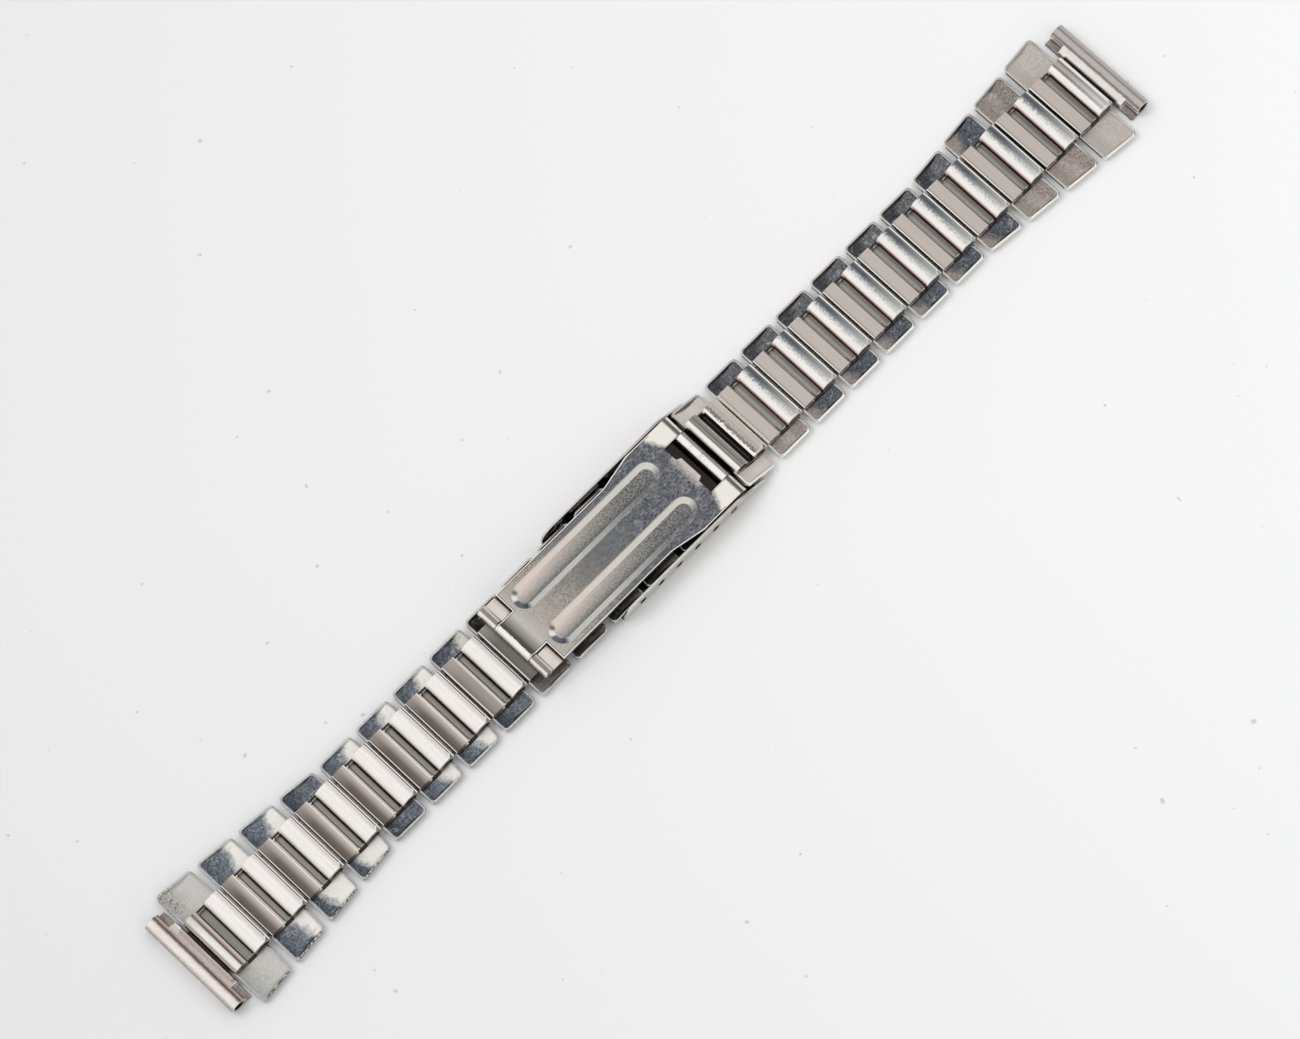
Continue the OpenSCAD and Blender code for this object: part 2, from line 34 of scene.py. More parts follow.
class Graph:
    """Adds nodes to one node tree. Each call that works something out returns the output socket
    of its last node, and normal and xyz return three of them."""

    def __init__(self, tree):
        self.tree = tree
        tree.nodes.clear()

    def node(self, kind, **settings):
        made = self.tree.nodes.new(kind)
        for name, value in settings.items():
            setattr(made, name, value)
        return made

    def link(self, source, target):
        self.tree.links.new(source, target)

    def put(self, value, target):
        if isinstance(value, bpy.types.NodeSocket):
            self.link(value, target)
        else:
            target.default_value = value

    def math(self, operation, a, b=0.0):
        made = self.node("ShaderNodeMath", operation=operation)
        self.put(a, made.inputs[0])
        self.put(b, made.inputs[1])
        return made.outputs[0]

    def add(self, a, b):
        return self.math("ADD", a, b)

    def minus(self, a, b):
        return self.math("SUBTRACT", a, b)

    def times(self, a, b):
        return self.math("MULTIPLY", a, b)

    def absolute(self, a):
        return self.math("ABSOLUTE", a)

    def above(self, a, limit, soft=0.02):
        return self.map_range(a, limit - soft, limit + soft, 0.0, 1.0)

    def below(self, a, limit, soft=0.02):
        return self.map_range(a, limit - soft, limit + soft, 1.0, 0.0)

    def between(self, a, low, high, soft=0.02):
        return self.times(self.above(a, low, soft), self.below(a, high, soft))

    def map_range(self, value, low, high, to_low, to_high):
        made = self.node("ShaderNodeMapRange", clamp=True)
        for socket, number in zip(made.inputs, (value, low, high, to_low, to_high)):
            self.put(number, socket)
        return made.outputs[0]

    def object_coords(self):
        return self.node("ShaderNodeTexCoord").outputs["Object"]

    def millimetres(self):
        return self.scaled(self.object_coords(), (1 / MM, 1 / MM, 1 / MM))

    def scaled(self, vector, scale, rotation=(0, 0, 0)):
        made = self.node("ShaderNodeMapping")
        self.link(vector, made.inputs["Vector"])
        made.inputs["Scale"].default_value = scale
        made.inputs["Rotation"].default_value = rotation
        return made.outputs[0]

    def normal(self):
        return self.xyz(self.node("ShaderNodeTexCoord").outputs["Normal"])

    def xyz(self, vector):
        made = self.node("ShaderNodeSeparateXYZ")
        self.link(vector, made.inputs[0])
        return made.outputs[0], made.outputs[1], made.outputs[2]

    def noise(self, vector, scale, detail=3.0, roughness=0.5, distortion=0.0):
        made = self.node("ShaderNodeTexNoise")
        self.link(vector, made.inputs["Vector"])
        made.inputs["Scale"].default_value = scale
        made.inputs["Detail"].default_value = detail
        made.inputs["Roughness"].default_value = roughness
        made.inputs["Distortion"].default_value = distortion
        return made.outputs["Fac"]

    def grey(self, value):
        made = self.node("ShaderNodeCombineColor")
        for socket in made.inputs:
            self.link(value, socket)
        return made.outputs[0]

    def mix(self, factor, a, b):
        made = self.node("ShaderNodeMix", data_type="RGBA")
        self.put(factor, made.inputs["Factor"])
        for value, socket in ((a, made.inputs[6]), (b, made.inputs[7])):
            if isinstance(value, bpy.types.NodeSocket):
                self.link(value, socket)
            else:
                socket.default_value = (*value, 1)
        return made.outputs[2]

    def blend(self, factor, a, b):
        made = self.node("ShaderNodeMix", data_type="FLOAT")
        self.put(factor, made.inputs["Factor"])
        self.put(a, made.inputs[2])
        self.put(b, made.inputs[3])
        return made.outputs[0]

    def tint(self, colour, amount):
        """A colour made lighter or darker by a factor."""
        made = self.node("ShaderNodeVectorMath", operation="SCALE")
        self.put(colour, made.inputs[0])
        self.put(amount, made.inputs["Scale"])
        return made.outputs[0]

    def ramp(self, value, stops, smooth=True):
        """The colours of stops, each with its place. Past the last one its colour goes on."""
        first, last = stops[0][0], stops[-1][0]
        span = last - first
        made = self.node("ShaderNodeValToRGB")
        made.color_ramp.interpolation = "LINEAR" if smooth else "CONSTANT"
        self.link(self.times(self.minus(value, first), 1 / span), made.inputs[0])
        elements = made.color_ramp.elements
        elements.remove(elements[1])
        for number, (at, colour) in enumerate(stops):
            position = (at - first) / span
            element = elements.new(position) if number else elements[0]
            element.position = position
            element.color = (*colour, 1)
        return made.outputs[0]

    def steps(self, value, entries):
        """The entry, a colour or a number, for each equal step of a value from 0 to 1. A number
        comes out as a grey of its tenth, because a ramp holds nothing above 1."""
        colours = [e if isinstance(e, tuple) else (e / 10,) * 3 for e in entries]
        stops = [(i / len(entries), colour) for i, colour in enumerate(colours)]
        return self.ramp(value, [*stops, (1.0, colours[-1])], smooth=False)

    def bump(self, height, strength, distance):
        made = self.node("ShaderNodeBump")
        self.link(height, made.inputs["Height"])
        made.inputs["Strength"].default_value = strength
        made.inputs["Distance"].default_value = distance
        return made.outputs[0]

    def surface(self, shader):
        self.link(shader.outputs[0], self.node("ShaderNodeOutputMaterial").inputs["Surface"])


def new_material(name):
    material = bpy.data.materials.new(name)
    material.use_nodes = True
    return material, Graph(material.node_tree)


# The camera and the floor

CAMERA_AZIMUTH = -46.11
CAMERA_ELEVATION = 72.17
CAMERA_DISTANCE = 0.8402
CAMERA_TARGET = (-0.00213, -0.0003, 0)
CAMERA_FOCAL_PX = 5741.6
CAMERA_CLIP_START = 0.01
PHOTO_WIDTH_PX = 1300
SENSOR_WIDTH = 36


def look_from(azimuth, elevation, distance, target):
    """Azimuth 0 looks along +Y; a negative one comes from the -X side."""
    a, e = math.radians(azimuth), math.radians(elevation)
    away = Vector((math.sin(a) * math.cos(e), -math.cos(a) * math.cos(e), math.sin(e)))
    return target + away * distance, (-away).to_track_quat("-Z", "Y").to_euler()


def add_camera():
    camera = bpy.data.objects.new("camera", bpy.data.cameras.new("camera"))
    bpy.context.scene.collection.objects.link(camera)
    camera.location, camera.rotation_euler = look_from(
        CAMERA_AZIMUTH, CAMERA_ELEVATION, CAMERA_DISTANCE, Vector(CAMERA_TARGET))
    camera.data.sensor_width = SENSOR_WIDTH
    camera.data.lens = SENSOR_WIDTH * CAMERA_FOCAL_PX / PHOTO_WIDTH_PX
    camera.data.clip_start = CAMERA_CLIP_START
    bpy.context.scene.camera = camera


FLOOR_SIZE = 6
# a little below the bracelet's outer face, so that the two never share a plane
FLOOR_Z = -0.00001
# the photograph's right and its top on the floor, each as x and y
TO_RIGHT = (0.69, -0.72)
TO_TOP = (0.72, 0.69)
DUST_SCALE = 620.0


def add_floor():
    """Pale paper with a little dust, and painted light that makes it brighter towards the right
    of the view and a little darker towards its bottom.
    """
    bpy.ops.mesh.primitive_plane_add(size=FLOOR_SIZE, location=(0, 0, FLOOR_Z))
    floor = bpy.context.object
    floor.name = "floor"
    material, g = new_material("pale_floor")
    place = g.object_coords()
    x, y, _ = g.xyz(place)
    rightward, upward = (g.add(g.times(x, a), g.times(y, b)) for a, b in (TO_RIGHT, TO_TOP))
    # painted light: the paper brightens towards the right of the view and darkens a little towards
    # its bottom
    tone = g.map_range(rightward, -0.10, 0.11, 0.755, 0.915)
    tone = g.times(tone, g.map_range(upward, -0.08, 0.0, 0.97, 1.0))
    dust = g.map_range(g.noise(place, DUST_SCALE, 1, 0.4), 0.19, 0.215, 0.75, 1.0)
    shader = g.node("ShaderNodeBsdfDiffuse")
    g.link(g.grey(g.times(tone, dust)), shader.inputs["Color"])
    g.surface(shader)
    floor.data.materials.append(material)


# Steel: its grain and wear, and the painted reflections, highlights and shade in its colours


def shade(red, green, blue):
    """A colour as it looks on screen, turned into linear values."""
    return tuple(c / 12.92 if c <= 0.04045 else ((c + 0.055) / 1.055) ** 2.4
                 for c in (red / 255, green / 255, blue / 255))


WHITE = shade(246, 243, 238)
PALE = shade(228, 224, 218)
PINKISH = shade(222, 210, 205)
BEIGE = shade(197, 188, 181)
BROWN = shade(150, 139, 131)
DARK_BROWN = shade(108, 99, 94)
BLUISH = shade(92, 101, 114)
DARK_BLUISH = shade(62, 70, 82)
LIGHT_BLUISH = shade(158, 163, 170)
DARK = shade(48, 44, 42)

BUMP_DISTANCE = 0.00002


def mottle(g, place, scale, low, high):
    """Uneven patches, from 0 to 1, with fine grain in them."""
    patches = g.noise(place, scale, 4.0, 0.62)
    grain = g.noise(place, scale * 5.5, 2.0, 0.6)
    return g.map_range(g.add(g.times(patches, 0.6), g.times(grain, 0.4)), low, high, 0.0, 1.0)


def scratches(g, place):
    """Fine crossing scratches, from 0 to 1."""
    lines = []
    for turn, stretch in ((0.35, 22), (1.75, 17), (2.6, 26)):
        across = g.scaled(place, (0.9, stretch, 0.9), (0, 0, turn))
        lines.append(g.noise(across, 0.8, 1.0, 0.5))
    return g.math("MAXIMUM", g.math("MAXIMUM", lines[0], lines[1]), lines[2])


def finish_steel(g, colour, roughness, height=None, strength=0.0, metal=1.0):
    """Ends a material. height gives the unevenness that a bump of this strength shows."""
    shader = g.node("ShaderNodeBsdfPrincipled")
    g.put(metal, shader.inputs["Metallic"])
    g.put(colour, shader.inputs["Base Color"])
    g.put(roughness, shader.inputs["Roughness"])
    if height is not None:
        g.link(g.bump(height, strength, BUMP_DISTANCE), shader.inputs["Normal"])
    g.surface(shader)


def plain_steel(name, light, dark, amount, rough, stretch=(1, 1, 1), scale=2.2):
    """Steel of one tint with fine darker grain, drawn out by stretch."""
    material, g = new_material(name)
    place = g.scaled(g.millimetres(), stretch)
    grain = mottle(g, place, scale, 0.42, 0.60)
    finish_steel(g, g.mix(g.times(grain, amount), light, dark), g.add(rough, g.times(grain, 0.06)))
    return material


# The links

LINK_PITCH = 7.5
BAND_HALF = 5.25
WING_L = 6.4
# how high the pans' colour reaches, just under their rims
PAN_TOP = 1.14
# how high the left links stand inside the clasp
CLASP_LIFT = 0.5
# how the right row's first link slopes down from the ears, and where along it the slope ends
FIRST_SLOPE = 0.4393
SLOPE_LENGTH = 5.0
SLOPE_END = 5.85
SLOPE_END_LIFT = -0.05

# A pan's colour on the left, its colour on the right, and where along it one turns to the other;
# these colours paint the pans' reflections and shade
PANS = {
    "stained": (shade(180, 178, 173), shade(190, 187, 182), 3.0),
    "half": (shade(104, 110, 118), PALE, 4.1),
    "corner": (shade(97, 103, 111), PALE, 2.3),
    "bluish": (shade(84, 89, 97), shade(98, 102, 108), 3.0),
    "most": (shade(88, 93, 101), shade(205, 200, 192), 4.9),
    "dark": (shade(80, 82, 86), shade(96, 97, 100), 3.0),
    "light_then_dark": (shade(162, 154, 148), shade(84, 88, 95), 2.1),
    "bronze": (shade(58, 52, 48), shade(104, 94, 86), 2.6),
    "olive": (shade(150, 146, 139), shade(128, 121, 113), 3.8),
    "brown": (shade(166, 156, 149), shade(142, 132, 127), 4.0),
    "brownish": (shade(160, 150, 144), shade(132, 124, 120), 3.4),
    "beige": (shade(190, 183, 176), shade(182, 175, 168), 3.2),
    "light": (shade(206, 197, 190), shade(216, 207, 200), 3.2),
}
# The looks of each row's pans from left to right, on its back side and on its front side
LEFT_PANS = (
    ("stained", "half", "half", "bluish", "half", "half", "half", "most", "bronze", "bronze",
     "bronze", "bronze", "dark"),
    ("stained", "half", "corner", "corner", "bluish", "half", "half", "bluish", "olive", "bronze",
     "bronze", "bronze", "dark"),
)
RIGHT_PANS = (
    ("light", "dark", "dark", "dark", "dark", "dark", "dark", "dark", "light_then_dark", "brownish", "beige"),
    ("light", "brown", "light_then_dark", "light_then_dark", "light_then_dark", "light_then_dark", "light_then_dark", "light_then_dark", "brown", "brown", "beige"),
)

# Colours along a link's band, from its left edge, which paint its reflections and highlights,
# the shade in its gaps and the shade inside the clasp: the deep strip and the bulging panel first
LEFT_STRIP = ((2.5, shade(236, 226, 218)), (3.08, shade(232, 222, 214)), (3.11, DARK),
              (3.25, DARK), (3.29, shade(166, 161, 153)), (4.08, shade(160, 157, 148)))
LEFT_BULGE = ((4.15, WHITE), (5.2, WHITE), (6.1, shade(236, 227, 224)),
              (6.6, shade(218, 210, 207)), (6.72, WHITE), (6.77, DARK), (6.9, DARK),
              (6.95, WHITE), (7.1, WHITE), (7.15, DARK), (7.5, DARK))
LEFT_BAND = ((0.0, WHITE), (0.22, WHITE), (0.3, DARK), (0.4, shade(98, 88, 83)),
             (1.1, shade(112, 102, 97)), (1.5, shade(148, 138, 132)),
             (2.0, shade(186, 177, 170)), (2.3, shade(208, 199, 192)),
             (2.38, shade(242, 232, 226)), *LEFT_STRIP, *LEFT_BULGE)
TOWARD_CLASP_BAND = ((0.0, WHITE), (0.22, WHITE), (0.36, shade(126, 118, 112)),
                     (1.0, shade(150, 140, 134)), (2.2, shade(172, 162, 156)), (2.42, PALE),
                     *LEFT_STRIP, *LEFT_BULGE)
AT_CLASP_BAND = ((0.0, WHITE), (0.22, WHITE), (0.36, shade(96, 94, 88)),
                 (0.8, shade(110, 109, 103)), (2.3, shade(120, 119, 112)),
                 (2.42, shade(190, 186, 178)), (2.5, DARK), (2.62, shade(168, 163, 154)),
                 (3.4, shade(158, 154, 145)), (4.5, shade(150, 145, 138)),
                 (7.5, shade(150, 145, 138)))
IN_CLASP_BAND = ((0.0, shade(104, 98, 92)), (7.5, shade(90, 84, 79)))
RIGHT_FLAT = ((0.0, WHITE), (0.24, WHITE), (0.34, DARK_BROWN), (0.42, shade(186, 177, 170)),
              (0.7, BEIGE), (2.28, BEIGE), (2.36, shade(104, 96, 89)), (2.5, DARK_BROWN),
              (3.2, DARK_BROWN), (3.3, shade(174, 173, 165)), (4.08, shade(190, 188, 180)))
RIGHT_BAND = (*RIGHT_FLAT, (4.14, shade(206, 172, 172)), (4.34, shade(226, 200, 200)),
              (4.44, WHITE), (5.0, WHITE), (5.35, shade(220, 218, 215)),
              (5.55, shade(182, 183, 184)), (5.8, shade(112, 116, 121)),
              (6.2, shade(86, 90, 97)), (6.6, shade(96, 98, 101)),
              (6.78, shade(128, 127, 126)), (6.84, WHITE), (7.04, WHITE), (7.1, DARK),
              (7.5, DARK))
RIGHT_LAST_BAND = (*RIGHT_FLAT, (4.2, shade(206, 172, 172)), (4.3, shade(232, 210, 209)),
                   (4.38, WHITE), (5.0, WHITE), (5.2, shade(150, 142, 140)),
                   (5.4, shade(112, 110, 104)), (5.55, shade(178, 175, 167)),
                   (6.2, shade(166, 163, 155)), (6.35, DARK_BROWN), (6.5, shade(178, 174, 167)),
                   (6.7, WHITE), (7.0, WHITE), (7.1, DARK), (7.5, DARK))
# The two links that end in a roll; their colours also paint reflections, highlights and shade
LEFT_ROLL_BAND = ((0.0, PALE), (0.35, shade(205, 200, 190)), (0.7, WHITE), (1.35, PALE),
                  (1.6, DARK_BROWN), (1.85, shade(178, 166, 160)), (2.3, PINKISH),
                  (2.7, shade(196, 186, 180)), (2.95, shade(150, 149, 139)),
                  (4.0, shade(150, 149, 141)), *LEFT_BULGE)
RIGHT_ROLL_BAND = ((0.0, WHITE), (1.3, WHITE), (1.55, shade(120, 115, 108)),
                   (1.9, shade(168, 162, 154)), (2.5, shade(140, 134, 127)), (2.9, PALE),
                   (3.2, DARK), (4.0, DARK), (4.3, shade(130, 125, 118)), (4.5, WHITE),
                   (4.85, WHITE), (5.05, shade(96, 94, 94)), (5.4, shade(160, 152, 147)),
                   (5.7, BEIGE), (6.9, BEIGE), (7.1, WHITE), (7.5, WHITE))

# Stretches of a link, from its left edge
FLAT_PANEL = (0.36, 2.3)
DEEP_STRIP = (2.6, 4.3)
BULGING_PANEL = (4.2, 6.9)
GRAINY_PART = (4.7, 6.3)
LIGHTER_PART = (5.2, 6.7)
ROUNDED_PART = (5.6, 7.2)
CUT_CORNER = (6.3, 6.9)
RIM_END = 0.42
# how high the deep strip's shadow and the shade at its ends reach
SHADOW_TOP = 1.0
STRIP_END_TOP = 1.6
# the number of the last link whose bulging panel has a strongly grainy turn from its painted
# highlight to its painted dark reflection
LAST_GRAINY = 9
# across the bracelet: the pans from their outer edges in to the band, and where the flat panels
# have a painted reflection that is lighter at the back
PANS_ACROSS = (8.5, 5.3)
BACK_LIGHT_ACROSS = (2.0, 5.2)
# the painted shade of a dark line around a band's end: how far it goes out, and in where the deep
# strip ends
LINE_OUT = 0.2
LINE_IN = 0.25
# the painted highlight and painted shade lines at the bulging panel's near end, and its corner's
# depth
END_LINE = 0.12
INNER_LINE = 0.16
CORNER_DEPTH = 0.6


def link_masks(g, first_edge, lift):
    """Where a point lies in its link, and masks from 0 to 1 of the link's parts. first_edge is
    the first link's left edge along x. lift gives two places along x and how high the row
    stands at each."""
    m = SimpleNamespace(place=g.millimetres())
    m.x, m.y, z = g.xyz(m.place)
    m.z = g.minus(z, g.map_range(m.x, *lift))
    _, m.ny, nz = g.normal()
    along = g.times(g.minus(m.x, first_edge), 1 / LINK_PITCH)
    m.index = g.math("FLOOR", along)
    m.local = g.times(g.minus(along, m.index), LINK_PITCH)
    m.away = g.absolute(m.y)
    m.near_side = g.below(m.y, 0.0)
    m.facing_up = g.above(nz, 0.45, 0.1)
    in_wing = g.above(m.away, BAND_HALF)
    m.in_band = g.minus(1.0, in_wing)
    top = g.times(in_wing, m.facing_up)
    m.pan = g.times(top, g.below(m.z, PAN_TOP))
    m.rim = g.minus(top, m.pan)
    inner_part = g.between(m.local, RIM_END, WING_L - RIM_END, 0.06)
    m.end_rim = g.times(m.rim, g.minus(1.0, inner_part))
    outer_side = g.times(in_wing, g.above(g.absolute(m.ny), 0.6, 0.1))
    m.outer_side = g.times(outer_side, g.above(g.times(m.y, m.ny), 0.0))
    m.grain = mottle(g, m.place, 2.4, 0.40, 0.60)
    m.specks = g.noise(m.place, 3.6, 2.0, 0.7)
    return m


def panel_colours(g, m, bands, back_light):
    """Colours along the panels, which paint their reflections, highlights and shade, with a grainy
    turn from the painted highlight to the painted dark reflection on the bulging one.
    """
    shake = g.blend(g.above(m.index, LAST_GRAINY + 0.5), 1.5, 0.3)
    shake = g.times(g.times(g.minus(m.specks, 0.5), shake), g.between(m.local, *GRAINY_PART, 0.3))
    shaken = g.add(m.local, shake)
    colour = g.ramp(shaken, bands[0][1])
    for begin, stops in bands[1:]:
        colour = g.mix(g.above(m.index, begin - 0.5), colour, g.ramp(shaken, stops))
    # painted reflection: the flat panels are lighter towards their back ends
    back_end = g.map_range(m.y, *BACK_LIGHT_ACROSS, 0.0, back_light)
    back_end = g.times(back_end, g.between(m.local, *FLAT_PANEL, 0.04))
    colour = g.mix(back_end, colour, shade(182, 175, 169))
    brushed = g.noise(g.scaled(m.place, (7.0, 0.35, 1.0)), 1.0, 2.0, 0.5)
    return g.mix(g.map_range(brushed, 0.3, 0.7, 0.0, 0.10), colour, DARK_BROWN)


def pan_colours(g, m, pans):
    """Colours of the pans, which paint their reflections and shade, and how dark they are, with
    grain and squiggles in the dark ones.
    """
    back_side = g.above(m.y, 0.0)
    backs, fronts = pans
    number = g.times(g.add(m.index, 0.5), 1 / len(backs))
    left, right, turn = (g.mix(back_side, g.steps(number, [PANS[look][i] for look in fronts]),
                               g.steps(number, [PANS[look][i] for look in backs]))
                         for i in range(3))
    reach = g.add(m.local, g.map_range(m.away, *PANS_ACROSS, -0.5, 0.7))
    reach = g.add(reach, g.times(g.minus(g.noise(m.place, 0.9, 3.0, 0.6), 0.5), 2.4))
    reach = g.minus(reach, g.times(g.xyz(turn)[0], 10.0))
    colour = g.mix(g.map_range(reach, -0.7, 0.7, 0.0, 1.0), left, right)
    darkness = g.minus(1.0, g.map_range(g.xyz(colour)[0], 0.15, 0.55, 0.0, 1.0))
    speckle = g.times(g.blend(m.grain, 0.7, 1.45), g.map_range(m.specks, 0.35, 0.65, 0.6, 1.5))
    colour = g.tint(colour, g.blend(darkness, g.blend(m.grain, 0.93, 1.04), speckle))
    squiggles = g.between(g.noise(m.place, 0.6, 2.0, 0.5, 0.8), 0.487, 0.513, 0.008)
    squiggles = g.times(squiggles, g.above(g.noise(m.place, 0.8, 1.0), 0.52, 0.03))
    colour = g.mix(g.times(g.times(squiggles, darkness), 0.35), colour, PALE)
    # painted shade: a dark line around the band's ends
    colour = g.mix(g.times(g.below(m.away, BAND_HALF + LINE_OUT, 0.06), 0.75), colour, DARK)
    return colour, darkness


def link_steel(name, first_edge, lift, bands, pans, roll_dullness, back_light, shadow_from):
    """Steel of a row of links, without what differs between the rows. bands holds the colours
    along the links, which paint their reflections, highlights and shade, each with the number
    of the link where they begin. roll_dullness is how little the panels' ends mirror,
    back_light how much lighter the painted reflection on the flat panels is at the back, and
    shadow_from the place along a link where the shadow under its bulging panel begins."""
    material, g = new_material(name)
    m = link_masks(g, first_edge, lift)
    colour = panel_colours(g, m, bands, back_light)
    pan_colour, darkness = pan_colours(g, m, pans)
    colour = g.mix(m.pan, colour, pan_colour)
    # painted highlight and shade: the bulging panel's near end has a white line, a dark one around
    # it, and a cut corner
    corner = g.add(END_LINE, g.map_range(m.local, *CUT_CORNER, 0.0, CORNER_DEPTH))
    inward = g.minus(g.minus(BAND_HALF, m.away), corner)
    on_panel = g.times(m.in_band, g.between(m.local, *BULGING_PANEL, 0.05))
    near_panel = g.times(on_panel, m.near_side)
    for reach, tone in ((INNER_LINE, WHITE), (0.0, DARK)):
        line = g.times(g.below(inward, reach, 0.05), near_panel)
        colour = g.mix(g.times(line, 0.85), colour, tone)
    # painted shadow: the deep strip beside the bulging panel is black under that panel and at its
    # own ends
    strip = g.times(g.times(m.in_band, g.below(m.z, SHADOW_TOP, 0.05)), m.facing_up)
    colour = g.mix(g.times(strip, g.above(m.local, shadow_from, 0.03)), colour, DARK)
    strip_end = g.times(g.between(m.away, BAND_HALF - LINE_IN, BAND_HALF + LINE_OUT, 0.05),
                        g.between(m.local, *DEEP_STRIP, 0.05))
    colour = g.mix(g.times(strip_end, g.below(m.z, STRIP_END_TOP, 0.1)), colour, DARK)
    m.colour = colour
    # that strip, the light pans and the panels' rounded ends are dull
    metal = g.minus(1.0, g.times(strip, 0.65))
    metal = g.minus(metal, g.times(g.times(m.pan, g.minus(1.0, darkness)), 0.65))
    rounded = g.times(m.in_band, g.between(m.local, *ROUNDED_PART, 0.1))
    m.metal = g.minus(metal, g.times(rounded, roll_dullness))
    return material, g, m


# the number of left links up to the clasp, and how many of them have fine ridges
LINKS_BEFORE_CLASP = 9
RIDGED_LINKS = 1.1
# how quickly the ridges follow each other, as an angle for each millimetre
RIDGE_RATE = 22.0
# where along x the marks on the near rims end
RIM_MARKS_END = -62.0
# the stained corner of the first pan: its reach from the row's left edge, and its lowest y
STAIN_REACH = 2.3
STAIN_Y = 7.0


def left_link_steel():
    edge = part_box("link_l02")[0].x / MM - LINK_PITCH
    clasp_edge = edge + LINKS_BEFORE_CLASP * LINK_PITCH
    bands = ((0, LEFT_ROLL_BAND), (1, LEFT_BAND), (7, TOWARD_CLASP_BAND), (8, AT_CLASP_BAND),
             (9, IN_CLASP_BAND))
    material, g, m = link_steel(
        "left_links", edge, (clasp_edge, clasp_edge + LINK_PITCH, 0.0, CLASP_LIFT), bands,
        LEFT_PANS, roll_dullness=0.8, back_light=0.45, shadow_from=4.02)
    # painted highlight: the rims are light grey with darker grain, and lighter bluish at their
    # ends
    rims = g.mix(g.times(m.grain, 0.35), shade(206, 206, 203), BLUISH)
    colour = g.mix(m.rim, m.colour, rims)
    colour = g.mix(g.times(m.end_rim, 0.5), colour, LIGHT_BLUISH)
    # brown stains in the first pan's corner
    stains = g.above(g.noise(m.place, 3.2, 2.0, 0.7), 0.56, 0.03)
    stains = g.times(stains, g.below(m.x, edge + STAIN_REACH, 0.4))
    stains = g.times(g.times(stains, g.above(m.y, STAIN_Y, 0.6)), 0.8)
    colour = g.mix(stains, colour, shade(112, 96, 82))
    # the outer sides are knurled, and finely ridged near the clasp
    knurls = g.above(g.noise(m.place, 9.0, 2.0, 0.7), 0.5)
    ridges = g.above(g.math("SINE", g.times(m.x, RIDGE_RATE)), 0.2, 0.4)
    near_clasp = g.above(m.x, clasp_edge - RIDGED_LINKS * LINK_PITCH, 0.2)
    sides = g.mix(g.blend(near_clasp, knurls, g.times(ridges, 0.5)), PALE, DARK_BLUISH)
    colour = g.mix(m.outer_side, colour, sides)
    dashes = g.above(g.noise(m.place, 3.0, 2.0, 0.7), 0.5, 0.03)
    dashes = g.times(g.times(g.minus(m.rim, m.end_rim), dashes), m.near_side)
    dashes = g.times(dashes, g.below(m.x, RIM_MARKS_END, 1.0))
    colour = g.mix(g.times(dashes, 0.85), colour, DARK)
    ridged = g.times(g.times(near_clasp, m.pan), g.times(m.near_side, ridges))
    colour = g.mix(g.times(ridged, 0.35), colour, LIGHT_BLUISH)
    finish_steel(g, colour, g.blend(m.pan, 0.24, 0.32), m.grain, 0.01, m.metal)
    return material


# how many links from the ears the back pans have their painted dark reflection, and where across
# the bracelet the painted reflection on the bulging panels turns lighter
DARK_BACK_PANS = 8.9
LIGHTER_ACROSS = (2.5, -4.8)


def right_link_steel():
    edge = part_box("link_r02")[0].x / MM - LINK_PITCH
    slope_end = edge + SLOPE_END
    lift = (slope_end - SLOPE_LENGTH, slope_end,
            SLOPE_LENGTH * FIRST_SLOPE + SLOPE_END_LIFT, SLOPE_END_LIFT)
    bands = ((0, RIGHT_ROLL_BAND), (1, RIGHT_BAND), (10, RIGHT_LAST_BAND))
    material, g, m = link_steel("right_links", edge, lift, bands, RIGHT_PANS,
                                roll_dullness=0.6, back_light=0.0, shadow_from=4.3)
    # painted highlight: the rims are light beige, and white along the near side except at their
    # ends
    rims = g.mix(g.times(m.grain, 0.3), shade(204, 201, 196), BROWN)
    colour = g.mix(m.rim, m.colour, rims)
    colour = g.mix(g.times(m.near_side, g.minus(m.rim, m.end_rim)), colour, WHITE)
    # painted reflection: the bulging panels turn lighter towards their near ends
    lighter = g.times(g.map_range(m.y, *LIGHTER_ACROSS, 0.0, 0.65),
                      g.between(m.local, *LIGHTER_PART, 0.15))
    lighter = g.times(lighter, g.above(m.x, edge + LINK_PITCH))
    lighter = g.times(lighter, g.below(m.away, BAND_HALF))
    colour = g.mix(lighter, colour, shade(216, 215, 212))
    # painted dark reflection: the back pans' sloping sides are as dark as their floors
    slope = g.times(m.pan, g.below(m.ny, -0.3, 0.1))
    slope = g.times(slope, g.below(m.x, edge + DARK_BACK_PANS * LINK_PITCH, 0.5))
    colour = g.mix(g.times(slope, 0.7), colour, shade(50, 51, 54))
    # painted reflection: the outer sides are white
    colour = g.mix(m.outer_side, colour, WHITE)
    finish_steel(g, colour, g.blend(m.pan, 0.22, 0.32), m.grain, 0.06, m.metal)
    return material


# The end pieces

# Colours along an end piece, from its tube's axis: painted highlights and reflections on the
# tube and neck, and painted shade in the gap beside them
LEFT_END = ((-1.45, DARK_BROWN), (-1.2, shade(205, 192, 186)), (-0.85, WHITE),
            (-0.1, shade(238, 226, 222)), (0.25, shade(170, 155, 150)), (0.5, DARK_BROWN),
            (0.8, shade(188, 174, 168)), (1.3, PINKISH), (1.9, PINKISH), (2.15, WHITE),
            (2.35, DARK), (4.5, DARK))
RIGHT_END = ((-4.5, DARK), (-2.5, DARK), (-2.3, shade(150, 130, 125)), (-2.1, WHITE),
             (-1.2, shade(236, 226, 223)), (-0.95, shade(112, 106, 102)),
             (-0.6, shade(192, 186, 182)), (1.0, shade(184, 178, 174)), (1.2, PALE),
             (1.45, shade(196, 192, 188)))
TUBE_R = 1.35
NECK_HALF = 6.35


